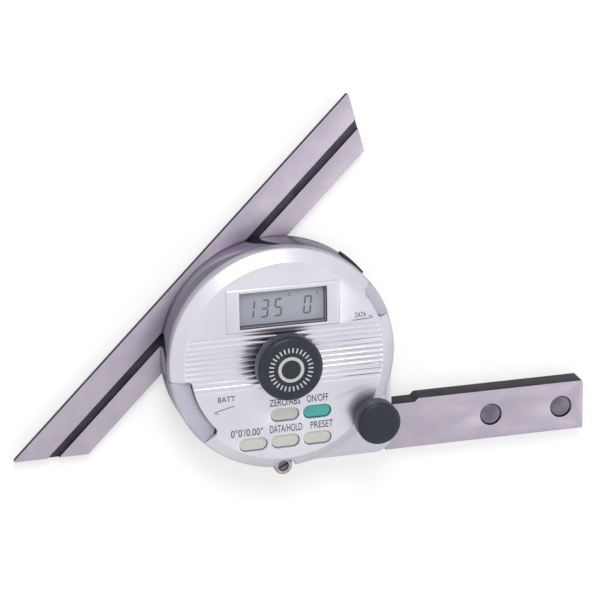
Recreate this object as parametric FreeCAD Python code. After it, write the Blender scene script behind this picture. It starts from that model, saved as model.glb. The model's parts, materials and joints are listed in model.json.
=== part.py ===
import FreeCAD, Part
import os
from math import acos, atan2, cos, degrees, pi, radians, sin, sqrt, tan

V = FreeCAD.Vector

# Digital bevel protractor, lying on its back.
# Origin: where the turning axis meets the back rest plane. +Z is out of the display,
# +X runs along the stock away from the case, +Y is up on the display.

# Levels above the back rest plane
blade_back_z = 1.8
blade_thickness = 1.8
case_back_z = 4.0
turret_back_z = 4.2
gear_low_z = 5.0
gear_thickness = 2.0
floor_low_z = 8.6
floor_thickness = 1.6
shoulder_z = 13.4
rim_z = 16.6
face_z = 19.3

# Blade
blade_length = 150.0
blade_width = 16.3
blade_hub_gap = 3.55
blade_end_u = 72.1
blade_angle = 45.0
low_end_angle = 45.0
high_end_angle = 60.0
tip_blunt = 0.5
groove_width = 2.55
groove_depth = 0.85
groove_offset = 6.35

# Stock
stock_thickness = 6.4
stock_width = 16.35
stock_overhang = 2.6
stock_reach = 65.4
stock_relief_depth = 1.15
stock_relief_length = 9.9
stock_corner_x = 0.7
stock_corner_y = 1.05
stock_edge_break = 0.25
tongue_length = 23.0
tongue_corner = 3.0
plug_radius = 3.5
plug_depth = 3.0
plug_sink = 0.4
plug_end_gaps = (30.7, 7.4)
stock_screw_radius = 1.2
stock_screw_head_radius = 2.3
stock_screw_top_z = 9.4
stock_screw_insets = ((16.5, 2.8), (8.4, 3.6), (2.8, 8.1))

# Case
case_radius = 35.0
case_wall = 1.8
case_corner_radius = 5.5
tube_radius = 6.0
tube_bore = 3.6
tube_top_z = 19.6
post_inset = 2.0
post_radius = 1.9
post_angles = (75.0, 165.0, 258.0, 2.0)
screw_radius = 0.7
screw_head_radius = 1.5
screw_head_height = 0.9
screw_top_z = 18.2

# Front cover
bevel_reach = 3.9
rim_round = 1.2
cover_thickness = 1.6
ledge_thickness = 1.2
frame_height = 0.6
frame_left_x = -17.8
frame_right_x = 17.2
frame_low_y = 10.4
frame_high_y = 24.2
frame_slope = 0.45
window_left_x = -13.75
window_right_x = 13.15
window_low_y = 11.6
window_high_y = 22.85
window_margin = 0.5
window_thickness = 0.7
ridge_count = 11
ridge_pitch = 1.63
ridge_top_y = 9.15
ridge_radius = 0.75
ridge_depth = 0.28
ridge_inset = 0.9

# Display and circuit board
board_low_z = 14.2
board_thickness = 1.0
board_gap = 0.5
strip_height = 0.6
strip_width = 1.2
lcd_thickness = 1.6
lcd_margin = 1.1

# Keys
key_length = 8.6
key_width = 3.95
key_pitch_x = 10.0
key_pitch_y = 8.6
key_middle_x = -0.25
key_row_y = -25.6
key_sink = 0.8
key_gap = 0.15
key_flange_margin = 0.5
key_flange_thickness = 0.8
key_plunger_radius = 1.1
key_travel = 0.5
dome_radius = 2.2
dome_height = 0.4

# Battery drawer
battery_angle = -154.6
cell_radius = 10.0
cell_thickness = 3.2
cell_inset = 13.4
drawer_floor = 0.4
drawer_wall = 0.4
lid_reach = 6.1
lid_half_angle = 18.7
lid_wall = 1.7
lid_plate = 1.1
lid_corner = 1.6
lid_round = 0.7
lid_top_z = 17.1
contact_thickness = 0.25
contact_width = 4.0

# Data port
port_angle = 28.6
port_reach = 3.5
port_half_angle = 9.2
port_half_width = 4.3
port_low_z = 11.0
socket_length = 6.0
plug_angle = 46.0
plug_half_angle = 7.0
rim_plug_low_z = 4.6
rim_plug_high_z = 9.2
rim_plug_sink = 0.8
rim_plug_proud = 0.6

# Turret and its drive
hub_inset = 18.0
flange_gap = 0.4
gear_clearance = 2.2
ring_web = 1.05
module = 0.5
pinion_teeth = 14
addendum = 0.8
dedendum = 1.3
tooth_backlash = 0.09
pressure_angle = 20.0
drive_angle = -37.0
drive_boss_radius = 4.4
drive_boss_top_z = 19.4
pinion_pocket_radius = 4.5
shaft_radius = 1.5
drive_bush_radius = 2.6
spindle_radius = 2.5
spindle_foot_radius = 6.0
spindle_foot_z = 1.5
spindle_top_drop = 2.4
thrust_boss_radius = 7.4
washer_thickness = 0.4
rotor_inset = 1.8
rotor_inner = 8.2
rotor_thickness = 0.7
stator_thickness = 0.4

# Blade clamp
clamp_plate_half = 8.0
clamp_plate_inner = 6.6
clamp_plate_gap = 0.2
clamp_plate_back_z = 0.15
clamp_plate_front_z = 1.7
clamp_screw_inset = 3.8
clamp_head_radius = 4.5
clamp_head_height = 0.8
clamp_shank_radius = 2.0
clamp_shank_top_z = 6.6
coin_slot_width = 1.3
coin_slot_depth = 0.5
key_bar_inset = 1.0
pad_overlap = 0.5

# Knobs
knob_radius = 10.05
knob_low_z = 20.7
knob_top_z = 26.8
knob_round = 1.3
knob_collar_radius = 7.2
fine_radius = 6.7
fine_low_z = 20.2
fine_top_z = 26.2
fine_round = 1.0
fine_collar_radius = 4.2

# Accessory bush on the rim
bush_overhang = 0.4
bush_radius = 2.8
bush_bore = 1.7
bush_low_z = 5.2
bush_top_z = 15.0
bush_seat_radius = 4.2
bush_notch_radius = 3.5
driver_slot_width = 0.6
driver_slot_depth = 0.7

# Clearances
fit_gap = 0.02
running_gap = 0.05
sliding_gap = 0.1

# Worked out from the sizes above
blade_front_z = blade_back_z + blade_thickness
gear_top_z = gear_low_z + gear_thickness
turret_top_z = gear_top_z + 0.2
floor_top_z = floor_low_z + floor_thickness
inner_radius = case_radius - case_wall
cover_under_z = face_z - cover_thickness
frame_top_z = face_z + frame_height
board_top_z = board_low_z + board_thickness
lcd_low_z = board_top_z + strip_height
flange_radius = inner_radius - flange_gap
face_radius = case_radius - bevel_reach
ridge_reach = face_radius - ridge_inset
lid_inner_radius = case_radius - lid_reach
port_inner_radius = case_radius - port_reach
rim_plug_inner = case_radius - rim_plug_sink
rim_plug_outer = case_radius + rim_plug_proud
post_circle = inner_radius - post_inset
bush_y = -case_radius - bush_overhang
spindle_top_z = knob_top_z - spindle_top_drop
hub_radius = case_radius - hub_inset
blade_offset = hub_radius + blade_hub_gap
cell_offset = inner_radius - cell_inset
clamp_plate_outer = inner_radius - clamp_plate_gap
clamp_screw_offset = hub_radius - clamp_screw_inset
stock_bottom_y = -case_radius - stock_overhang
stock_top_y = stock_bottom_y + stock_width
stock_end_x = case_radius + stock_reach
stock_relief_end_x = case_radius + stock_relief_length
tongue_start_x = case_radius - tongue_length
plug_xs = [stock_end_x - gap for gap in plug_end_gaps]
stock_screw_places = [(case_radius - dx, dy - case_radius) for dx, dy in stock_screw_insets]
groove_centre = blade_offset + groove_offset + groove_width / 2
key_bar_half = sqrt(flange_radius ** 2 - (groove_centre + groove_width / 2) ** 2) - key_bar_inset
pad_half = key_bar_half + pad_overlap
ring_teeth = round(2 * (inner_radius - gear_clearance) / module)
ring_pitch_radius = module * ring_teeth / 2
step_radius = ring_pitch_radius - dedendum * module - ring_web
rotor_outer = step_radius - rotor_inset
pinion_pitch_radius = module * pinion_teeth / 2
drive_radius = ring_pitch_radius + pinion_pitch_radius
drive_x = drive_radius * cos(radians(drive_angle))
drive_y = drive_radius * sin(radians(drive_angle))
drawer_low_z = floor_top_z + running_gap
cell_low_z = drawer_low_z + drawer_floor + fit_gap
drawer_half_width = cell_radius + sliding_gap + drawer_wall


def disc(radius, low, high, x=0.0, y=0.0):
    return Part.makeCylinder(radius, high - low, V(x, y, low))


def ring(outer, inner, low, high, x=0.0, y=0.0):
    return disc(outer, low, high, x, y).cut(disc(inner, low - 1, high + 1, x, y))


def block(x0, x1, y0, y1, low, high):
    return Part.makeBox(x1 - x0, y1 - y0, high - low, V(x0, y0, low))


def prism(corners, low, high):
    points = [V(x, y, low) for x, y in corners]
    face = Part.Face(Part.makePolygon(points + points[:1]))
    return face.extrude(V(0, 0, high - low))


def stadium(length, width, low, high, x, y):
    straight = (length - width) / 2
    bar = block(x - straight, x + straight, y - width / 2, y + width / 2, low, high)
    left = disc(width / 2, low, high, x - straight, y)
    right = disc(width / 2, low, high, x + straight, y)
    return bar.fuse(left).fuse(right).removeSplitter()


def turned(shape, angle):
    copy = shape.copy()
    copy.rotate(V(0, 0, 0), V(0, 0, 1), angle)
    return copy


def around(radius, angle):
    return radius * cos(radians(angle)), radius * sin(radians(angle))


def wedge(half_angle, reach, low, high):
    """A slice of pie about +X."""
    y = reach * tan(radians(half_angle))
    return prism([(0, 0), (reach, -y), (reach, y)], low, high)


def round_vertical_edges(shape, radius, places):
    def wanted(edge):
        centre = edge.CenterOfMass
        upright = abs(edge.BoundBox.XLength) < 1e-6 and abs(edge.BoundBox.YLength) < 1e-6
        return upright and any(abs(centre.x - x) + abs(centre.y - y) < 1e-3 for x, y in places)
    return shape.makeFillet(radius, [edge for edge in shape.Edges if wanted(edge)])


def spun(start, steps):
    """Revolve an outline of (r, z) points about Z; a pair of points is an arc."""
    edges = []
    here = V(start[0], 0, start[1])
    for step in steps:
        if isinstance(step[0], tuple):
            middle = V(step[0][0], 0, step[0][1])
            end = V(step[1][0], 0, step[1][1])
            edges.append(Part.Arc(here, middle, end).toShape())
        else:
            end = V(step[0], 0, step[1])
            edges.append(Part.makeLine(here, end))
        here = end
    edges.append(Part.makeLine(here, V(start[0], 0, start[1])))
    return Part.Face(Part.Wire(edges)).revolve(V(0, 0, 0), V(0, 0, 1), 360)


def quarter(r_centre, z_centre, radius, start, end):
    """Middle and end of an arc about a centre in the (r, z) plane, in degrees."""
    middle = radians((start + end) / 2)
    last = radians(end)
    return ((r_centre + radius * cos(middle), z_centre + radius * sin(middle)),
            (r_centre + radius * cos(last), z_centre + radius * sin(last)))


# Blade parts are drawn with x along the blade and y away from the axis, then turned.

def blade():
    high = blade_end_u
    low = high - blade_length
    inner = blade_offset
    outer = blade_offset + blade_width
    low_run = blade_width / tan(radians(low_end_angle))
    high_run = blade_width / tan(radians(high_end_angle))
    high_blunt = around(tip_blunt, high_end_angle)
    low_blunt = around(tip_blunt, low_end_angle)
    outline = [(low + low_run, inner), (high - high_run, inner),
               (high - high_blunt[0], outer - high_blunt[1]), (high - tip_blunt, outer),
               (low + tip_blunt, outer), (low + low_blunt[0], outer - low_blunt[1])]
    bar = prism(outline, blade_back_z, blade_front_z)
    half = groove_width / 2
    groove = block(low - 1, high + 1, groove_centre - half, groove_centre + half,
                   blade_front_z - groove_depth, blade_front_z + 1)
    return turned(bar.cut(groove), blade_angle)


def guide_key():
    half = groove_width / 2 - running_gap
    bar = block(-key_bar_half, key_bar_half, groove_centre - half, groove_centre + half,
                blade_front_z - groove_depth + sliding_gap * 2, turret_back_z + 0.4)
    return turned(bar, blade_angle)


def clamp_plate():
    plate = block(-clamp_plate_half, clamp_plate_half, clamp_plate_inner, clamp_plate_outer,
                  clamp_plate_back_z, clamp_plate_front_z)
    corners = [(-clamp_plate_half, clamp_plate_outer), (clamp_plate_half, clamp_plate_outer)]
    plate = round_vertical_edges(plate, 3.0, corners)
    head = disc(clamp_head_radius + sliding_gap, 0, clamp_plate_back_z + clamp_head_height,
                0, clamp_screw_offset)
    bore = disc(clamp_shank_radius + sliding_gap, 0, clamp_plate_front_z + 1, 0, clamp_screw_offset)
    return turned(plate.cut(head).cut(bore), blade_angle)


def blade_clamp_screw():
    head_top = clamp_plate_back_z + clamp_head_height - running_gap
    head = disc(clamp_head_radius, head_top - clamp_head_height, head_top, 0, clamp_screw_offset)
    shank = disc(clamp_shank_radius, head_top, clamp_shank_top_z, 0, clamp_screw_offset)
    slot_floor = head_top - clamp_head_height + coin_slot_depth
    slot = block(-clamp_head_radius, clamp_head_radius, clamp_screw_offset - coin_slot_width / 2,
                 clamp_screw_offset + coin_slot_width / 2, -1, slot_floor)
    return turned(head.fuse(shank).cut(slot), blade_angle)


def turret_plate():
    plate = disc(hub_radius, 0, turret_back_z)
    plate = plate.fuse(disc(flange_radius, turret_back_z, gear_low_z))
    plate = plate.fuse(disc(step_radius - fit_gap, gear_low_z, turret_top_z))
    plate = plate.fuse(disc(thrust_boss_radius, turret_top_z, floor_low_z - washer_thickness))
    pad = block(-pad_half, pad_half, blade_offset + sliding_gap, flange_radius,
                blade_front_z + running_gap, turret_back_z)
    pad = pad.common(disc(flange_radius, 0, turret_back_z))
    slot = block(-key_bar_half - fit_gap, key_bar_half + fit_gap,
                 groove_centre - groove_width / 2 + fit_gap, groove_centre + groove_width / 2 - fit_gap,
                 0, turret_back_z + 0.4)
    recess = block(-clamp_plate_half - sliding_gap, clamp_plate_half + sliding_gap,
                   clamp_plate_inner - sliding_gap, flange_radius, -1, clamp_plate_front_z + sliding_gap)
    screw = disc(clamp_shank_radius + running_gap, 0, clamp_shank_top_z + 0.2, 0, clamp_screw_offset)
    foot = disc(spindle_foot_radius + fit_gap, spindle_foot_z, floor_low_z)
    local = turned(slot.fuse(recess).fuse(screw), blade_angle)
    return plate.fuse(turned(pad, blade_angle)).removeSplitter().cut(local).cut(foot)


def spindle():
    foot = disc(spindle_foot_radius, spindle_foot_z, floor_low_z - washer_thickness)
    return foot.fuse(disc(spindle_radius, floor_low_z - washer_thickness, spindle_top_z))


def thrust_washer():
    return ring(thrust_boss_radius, spindle_radius + running_gap, floor_low_z - washer_thickness,
                floor_low_z - running_gap)


def involute_offset(radius, pitch_radius):
    """Angle from a tooth's flank on the pitch circle to its flank at this radius."""
    base = pitch_radius * cos(radians(pressure_angle))
    here = acos(min(1.0, base / radius))
    pitch = radians(pressure_angle)
    return (tan(here) - here) - (tan(pitch) - pitch)


def gear_outline(teeth, centre_angle, flank_steps):
    pitch_radius = module * teeth / 2
    base = pitch_radius * cos(radians(pressure_angle))
    root = pitch_radius - dedendum * module
    tip = pitch_radius + addendum * module
    half_tooth = pi / (2 * teeth) - tooth_backlash / (2 * pitch_radius)
    start = max(root, base)
    radii = [start + (tip - start) * i / flank_steps for i in range(flank_steps + 1)]
    if root < start:
        radii.insert(0, root)
    corners = []
    for tooth in range(teeth):
        middle = radians(centre_angle) + 2 * pi * tooth / teeth
        rising = [(r, middle - half_tooth + involute_offset(max(r, start), pitch_radius)) for r in radii]
        falling = [(r, 2 * middle - a) for r, a in reversed(rising)]
        corners += [(r * cos(a), r * sin(a)) for r, a in rising + falling]
    return corners


def ring_gear():
    teeth = prism(gear_outline(ring_teeth, drive_angle, 1), gear_low_z, gear_top_z)
    return teeth.cut(disc(step_radius, gear_low_z - 1, gear_top_z + 1))


def pinion():
    facing = drive_angle + 180.0 + 180.0 / pinion_teeth
    teeth = prism(gear_outline(pinion_teeth, facing, 3), gear_low_z + 0.35, gear_top_z)
    shaft = disc(shaft_radius, gear_low_z + 0.35, fine_top_z - 1.4)
    piece = teeth.fuse(shaft)
    piece.translate(V(drive_x, drive_y, 0))
    return piece


def encoder_rotor():
    return ring(rotor_outer, rotor_inner, turret_top_z, turret_top_z + rotor_thickness)


def encoder_stator():
    return ring(rotor_outer, rotor_inner, floor_low_z - stator_thickness, floor_low_z)


def case_block(low, high):
    """The round case with its square corner that carries the stock and the fine drive."""
    corner = block(0, case_radius, -case_radius, 0, low, high)
    corner = round_vertical_edges(corner, case_corner_radius, [(case_radius, -case_radius)])
    return disc(case_radius, low, high).fuse(corner).removeSplitter()


def drawer_way(low, high):
    half = drawer_half_width + sliding_gap
    return turned(block(cell_offset, case_radius + 2, -half, half, low, high), battery_angle)


def port_way(low, high):
    half = port_half_width + sliding_gap
    return turned(block(inner_radius - 1, case_radius + 2, -half, half, low, high), port_angle)


def case():
    body = case_block(case_back_z, shoulder_z)
    body = body.cut(disc(inner_radius, case_back_z - 1, floor_low_z))
    body = body.cut(disc(pinion_pocket_radius, gear_low_z, floor_low_z, drive_x, drive_y))
    body = body.cut(disc(inner_radius, floor_top_z, shoulder_z + 1))
    body = body.fuse(disc(tube_radius, floor_low_z, tube_top_z))
    body = body.fuse(disc(drive_boss_radius, floor_low_z, drive_boss_top_z, drive_x, drive_y))
    seat = disc(bush_seat_radius, floor_low_z, shoulder_z, 0, bush_y)
    body = body.fuse(seat.common(disc(case_radius, floor_low_z, shoulder_z)))
    for angle in post_angles:
        x, y = around(post_circle, angle)
        body = body.fuse(disc(post_radius, floor_low_z, board_low_z, x, y))
    for angle in post_angles:
        x, y = around(post_circle, angle)
        body = body.cut(disc(screw_radius + running_gap, floor_low_z - 1, board_low_z + 1, x, y))
        body = body.cut(disc(screw_head_radius + running_gap, floor_low_z - 1,
                             floor_low_z + screw_head_height, x, y))
    body = body.cut(disc(tube_bore, floor_low_z - 1, tube_top_z + 1))
    body = body.cut(disc(drive_bush_radius, floor_low_z - 1, drive_boss_top_z + 1, drive_x, drive_y))
    body = body.cut(disc(bush_radius + running_gap, bush_low_z, shoulder_z + 1, 0, bush_y))
    body = body.cut(drawer_way(floor_top_z, shoulder_z + 1))
    body = body.cut(port_way(port_low_z - sliding_gap, shoulder_z + 1))
    body = body.cut(rim_plug_sector(rim_plug_inner - running_gap, case_radius + 2, running_gap))
    for x, y in stock_screw_places:
        body = body.cut(disc(stock_screw_radius + running_gap, case_back_z - 1,
                             stock_screw_top_z + 0.3, x, y))
    return body.removeSplitter()


def rim_plug_sector(inner, outer, margin):
    low = rim_plug_low_z - margin
    high = rim_plug_high_z + margin
    sector = ring(outer, inner, low, high).common(wedge(plug_half_angle + margin, outer * 2, low, high))
    return turned(sector, plug_angle)


def port_plug():
    return rim_plug_sector(rim_plug_inner, rim_plug_outer, 0.0)


def key_places():
    lower = [(key_middle_x + i * key_pitch_x, key_row_y) for i in (-1, 0, 1)]
    upper = [(key_middle_x + i * key_pitch_x, key_row_y + key_pitch_y) for i in (0, 1)]
    return lower + upper


def ridge_cutter(y):
    """One long shallow hollow across the face, rounded where it runs out."""
    rise = ridge_radius - ridge_depth
    half = sqrt(ridge_reach ** 2 - y ** 2)
    rod = Part.makeCylinder(ridge_radius, 2 * half, V(-half, y, face_z + rise), V(1, 0, 0))
    left = Part.makeSphere(ridge_radius, V(-half, y, face_z + rise))
    right = Part.makeSphere(ridge_radius, V(half, y, face_z + rise))
    return rod.fuse(left).fuse(right)


def lid_sector(inner, outer, half_angle, low, high):
    """A piece of ring about +X with its two inner corners rounded."""
    sector = ring(outer, inner, low, high).common(wedge(half_angle, outer * 2, low, high))
    corners = [around(inner, half_angle), around(inner, -half_angle)]
    return round_vertical_edges(sector, lid_corner, corners)


def lid_top(inner, half_angle):
    """The flat cap of a lid, with its outer edge rounded over."""
    outer = case_radius - fit_gap
    cap = lid_sector(inner, outer, half_angle, lid_top_z - lid_plate, lid_top_z)
    rim = [edge for edge in cap.Edges if edge.BoundBox.ZMin > lid_top_z - 1e-6
           and abs(edge.Vertexes[0].Point.distanceToPoint(V(0, 0, lid_top_z)) - outer) < 1e-3
           and abs(edge.Vertexes[-1].Point.distanceToPoint(V(0, 0, lid_top_z)) - outer) < 1e-3]
    return cap.makeFillet(lid_round, rim)


def display_frame():
    slab = block(frame_left_x, frame_right_x, frame_low_y, frame_high_y, face_z - 0.5, frame_top_z)
    top = [edge for edge in slab.Edges if edge.BoundBox.ZMin > frame_top_z - 1e-6]
    return slab.makeChamfer(frame_slope, top)


def front_cover():
    bevel = degrees(atan2(face_z - rim_z, case_radius - face_radius))
    reach = rim_round * tan(radians((90 - bevel) / 2))
    arc = quarter(case_radius - rim_round, rim_z - reach, rim_round, 0, 90 - bevel)
    cover = spun((0, shoulder_z),
                 [(case_radius, shoulder_z), (case_radius, rim_z - reach), arc,
                  (face_radius, face_z), (0, face_z)])
    hollow = disc(inner_radius, shoulder_z - 1, rim_z - 1.0)
    hollow = hollow.fuse(disc(face_radius - 0.4, shoulder_z, cover_under_z))
    cover = cover.cut(hollow)
    for angle in post_angles:
        x, y = around(post_circle, angle)
        cover = cover.fuse(disc(post_radius, board_top_z, cover_under_z + 0.1, x, y))
    cover = cover.fuse(display_frame())
    for i in range(ridge_count):
        cover = cover.cut(ridge_cutter(ridge_top_y - i * ridge_pitch))
    cover = cover.cut(block(window_left_x, window_right_x, window_low_y, window_high_y, 0, frame_top_z + 1))
    ledge_z = frame_top_z - ledge_thickness
    cover = cover.cut(block(window_left_x - window_margin, window_right_x + window_margin,
                            window_low_y - window_margin, window_high_y + window_margin, 0, ledge_z))
    for x, y in key_places():
        cover = cover.cut(stadium(key_length + 2 * key_gap, key_width + 2 * key_gap, 0, face_z + 1, x, y))
        room = 2 * (key_gap + key_flange_margin + sliding_gap)
        cover = cover.cut(stadium(key_length + room, key_width + room, 0, cover_under_z, x, y))
    cover = cover.cut(disc(tube_radius + sliding_gap, 0, face_z + 1))
    cover = cover.cut(disc(drive_boss_radius + sliding_gap, 0, face_z + 1, drive_x, drive_y))
    cover = cover.cut(disc(bush_notch_radius, 0, face_z + 1, 0, bush_y))
    for angle in post_angles:
        x, y = around(post_circle, angle)
        cover = cover.cut(disc(screw_radius + fit_gap, 0, screw_top_z + 0.2, x, y))
    cover = cover.cut(drawer_way(shoulder_z - 1, lid_top_z - lid_plate))
    cover = cover.cut(turned(lid_sector(lid_inner_radius, case_radius + 2, lid_half_angle + 0.2,
                                        0, face_z + 1), battery_angle))
    cover = cover.cut(port_way(0, lid_top_z - lid_plate))
    cover = cover.cut(turned(lid_sector(port_inner_radius, case_radius + 2, port_half_angle + 0.2,
                                        0, face_z + 1), port_angle))
    return cover.removeSplitter()


def display_window():
    top = frame_top_z - ledge_thickness
    gap = window_margin - fit_gap
    return block(window_left_x - gap, window_right_x + gap, window_low_y - gap, window_high_y + gap,
                 top - window_thickness, top)


def lcd_panel():
    return block(window_left_x - lcd_margin, window_right_x + lcd_margin, window_low_y - lcd_margin,
                 window_high_y + lcd_margin, lcd_low_z, lcd_low_z + lcd_thickness)


def lcd_connector():
    left = window_left_x
    right = window_right_x
    half = strip_width / 2
    return Part.makeCompound([block(left, right, y - half, y + half, board_top_z, lcd_low_z)
                              for y in (window_low_y, window_high_y)])


def circuit_board():
    board = disc(inner_radius - board_gap, board_low_z, board_top_z)
    board = board.cut(disc(tube_radius + 2 * sliding_gap, 0, face_z))
    board = board.cut(disc(drive_boss_radius + 2 * sliding_gap, 0, face_z, drive_x, drive_y))
    board = board.cut(disc(bush_seat_radius, 0, face_z, 0, bush_y))
    for angle in post_angles:
        x, y = around(post_circle, angle)
        board = board.cut(disc(screw_radius + 0.2, 0, face_z, x, y))
    lid_room = ring(case_radius, lid_inner_radius - 0.4, 0, face_z)
    lid_room = lid_room.common(wedge(lid_half_angle + 3.0, case_radius * 2, 0, face_z))
    board = board.cut(turned(lid_room, battery_angle))
    port_room = ring(case_radius, inner_radius - 2.0, 0, face_z)
    port_room = port_room.common(wedge(port_half_angle + 1.0, case_radius * 2, 0, face_z))
    return board.cut(turned(port_room, port_angle))


def key_domes():
    domes = []
    for x, y in key_places():
        foot = disc(dome_radius, board_top_z, board_top_z + dome_height / 2, x, y)
        crown = disc(dome_radius * 0.6, board_top_z + dome_height / 2, board_top_z + dome_height, x, y)
        domes.append(foot.fuse(crown))
    return Part.makeCompound(domes)


def key(x, y):
    top = face_z - key_sink
    flange_top = cover_under_z - running_gap
    stem = stadium(key_length, key_width, flange_top, top, x, y)
    rim = [edge for edge in stem.Edges if edge.BoundBox.ZMin > top - 1e-6]
    stem = stem.makeFillet(0.3, rim)
    margin = 2 * (key_gap + key_flange_margin)
    flange = stadium(key_length + margin, key_width + margin,
                     flange_top - key_flange_thickness, flange_top, x, y)
    plunger = disc(key_plunger_radius, board_top_z + dome_height + key_travel + running_gap,
                   flange_top, x, y)
    return stem.fuse(flange).fuse(plunger)


def battery():
    cell = disc(cell_radius, cell_low_z, cell_low_z + cell_thickness, cell_offset, 0)
    return turned(cell, battery_angle)


def battery_drawer():
    half = drawer_half_width
    reach = inner_radius - sliding_gap
    low = drawer_low_z
    inner_x = cell_offset - cell_radius - 0.2
    tray = block(inner_x, reach + 1, -half, half, low, low + drawer_floor)
    for side in (-1, 1):
        edge = side * (half - drawer_wall / 2)
        tray = tray.fuse(block(cell_offset, reach + 1, edge - drawer_wall / 2, edge + drawer_wall / 2,
                               low, cell_low_z + cell_thickness * 0.6))
    tray = tray.common(disc(case_radius - 0.5, 0, face_z))
    wall = ring(case_radius - fit_gap, case_radius - lid_wall, low, lid_top_z - lid_plate)
    wall = wall.common(block(0, case_radius + 1, -half, half, low, lid_top_z))
    cap = lid_top(lid_inner_radius + sliding_gap, lid_half_angle)
    tray = tray.cut(disc(cell_radius + fit_gap, cell_low_z - fit_gap, face_z, cell_offset, 0))
    return turned(tray.fuse(wall).fuse(cap).removeSplitter(), battery_angle)


def battery_contacts():
    cell_top = cell_low_z + cell_thickness
    half = contact_width / 2
    strip_low = board_low_z - contact_thickness
    upper = block(cell_offset - 5, cell_offset + 3, -half, half, strip_low, board_low_z)
    lift = strip_low - cell_top
    tip = block(cell_offset - 5, cell_offset - 3, -half, half, cell_top + lift * 0.2, board_low_z)
    side_x = cell_offset - cell_radius - 0.9
    side = block(side_x, side_x + contact_thickness, -half, half, floor_top_z, board_low_z)
    return turned(Part.makeCompound([upper.fuse(tip), side]), battery_angle)


def data_port_cover():
    half = port_half_width
    wall = ring(case_radius - fit_gap, case_radius - lid_wall, port_low_z, lid_top_z - lid_plate)
    wall = wall.common(block(0, case_radius + 1, -half, half, port_low_z, lid_top_z))
    cap = lid_top(port_inner_radius + sliding_gap, port_half_angle)
    return turned(wall.fuse(cap).removeSplitter(), port_angle)


def data_connector():
    outer = case_radius - lid_wall - 0.3
    half = port_half_width - 0.3
    shell = block(outer - socket_length, outer, -half, half, port_low_z + 0.3, board_low_z)
    mouth = block(outer - socket_length + 1.5, outer + 1, -half + 0.6, half - 0.6,
                  port_low_z + 0.9, board_low_z - 0.6)
    return turned(shell.cut(mouth), port_angle)


def spindle_bush():
    return ring(tube_bore - fit_gap, spindle_radius + running_gap, floor_low_z, tube_top_z - 0.2)


def fine_drive_bush():
    return ring(drive_bush_radius - fit_gap, shaft_radius + running_gap, floor_low_z, drive_boss_top_z,
                drive_x, drive_y)


def stock():
    right = stock_end_x
    left = case_radius + 0.1
    low = stock_bottom_y
    top = stock_top_y
    relief = top - stock_relief_depth
    ramp_x = stock_relief_end_x + stock_relief_depth
    bar = prism([(left, low), (right, low), (right, top - stock_corner_y), (right - stock_corner_x, top),
                 (ramp_x, top), (stock_relief_end_x, relief), (left, relief)], 0, stock_thickness)
    rims = [edge for edge in bar.Edges
            if edge.BoundBox.ZMin > stock_thickness - 1e-6 and edge.BoundBox.XLength > 1.5]
    bar = bar.makeChamfer(stock_edge_break, rims)
    start = tongue_start_x
    tongue = prism([(start, low + tongue_corner), (start + tongue_corner, low), (left, low), (left, relief),
                    (start + tongue_corner, relief), (start, relief - tongue_corner)], 0, case_back_z)
    bar = bar.fuse(tongue).removeSplitter()
    middle = (low + top) / 2 - 0.2
    for x in plug_xs:
        bar = bar.cut(disc(plug_radius + running_gap, stock_thickness - plug_depth,
                           stock_thickness + 1, x, middle))
    for x, y in stock_screw_places:
        bar = bar.cut(disc(stock_screw_radius + sliding_gap, -1, stock_thickness, x, y))
        sink = Part.makeCone(stock_screw_head_radius + 0.1, stock_screw_radius + 0.1,
                             stock_screw_head_radius - stock_screw_radius, V(x, y, 0))
        bar = bar.cut(sink)
    return bar


def stock_plugs():
    middle = (stock_bottom_y + stock_top_y) / 2 - 0.2
    plugs = []
    for x in plug_xs:
        pin = disc(plug_radius, stock_thickness - plug_depth, stock_thickness - plug_sink, x, middle)
        top = [edge for edge in pin.Edges if edge.BoundBox.ZMin > stock_thickness - plug_sink - 1e-6]
        plugs.append(pin.makeChamfer(0.4, top))
    return Part.makeCompound(plugs)


def stock_screws():
    screws = []
    for x, y in stock_screw_places:
        head = Part.makeCone(stock_screw_head_radius, stock_screw_radius,
                             stock_screw_head_radius - stock_screw_radius, V(x, y, 0.1))
        shank = disc(stock_screw_radius, 0.1, stock_screw_top_z, x, y)
        slot = block(x - 3, x + 3, y - driver_slot_width / 2, y + driver_slot_width / 2, 0, 0.7)
        screws.append(head.fuse(shank).cut(slot))
    return Part.makeCompound(screws)


def cover_screws():
    screws = []
    for angle in post_angles:
        x, y = around(post_circle, angle)
        head = disc(screw_head_radius, floor_low_z + 0.1, floor_low_z + screw_head_height, x, y)
        shank = disc(screw_radius, floor_low_z + screw_head_height, screw_top_z, x, y)
        screws.append(head.fuse(shank))
    return Part.makeCompound(screws)


def accessory_bush():
    tube = ring(bush_radius, bush_bore, bush_low_z, bush_top_z, 0, bush_y)
    top = [edge for edge in tube.Edges
           if edge.BoundBox.ZMin > bush_top_z - 1e-6 and edge.BoundBox.XLength > 2 * bush_bore + 0.5]
    return tube.makeChamfer(0.3, top)


def accessory_screw():
    top = bush_top_z - 0.5
    screw = disc(bush_bore - running_gap, bush_low_z + 1, top, 0, bush_y)
    half = driver_slot_width / 2
    slot = block(-bush_bore, bush_bore, -half, half, top - driver_slot_depth, top + 1)
    slot.rotate(V(0, 0, 0), V(0, 0, 1), 25)
    slot.translate(V(0, bush_y, 0))
    return screw.cut(slot)


def round_knob(radius, low, top, rounding, collar_radius, collar_low, bore, bore_top):
    steps = [(collar_radius, collar_low), (collar_radius, low), (radius - rounding, low)]
    steps.append(quarter(radius - rounding, low + rounding, rounding, -90, 0))
    steps.append((radius, top - rounding))
    steps.append(quarter(radius - rounding, top - rounding, rounding, 0, 90))
    steps += [(0, top), (0, bore_top), (bore, bore_top)]
    return spun((bore, collar_low), steps)


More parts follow.
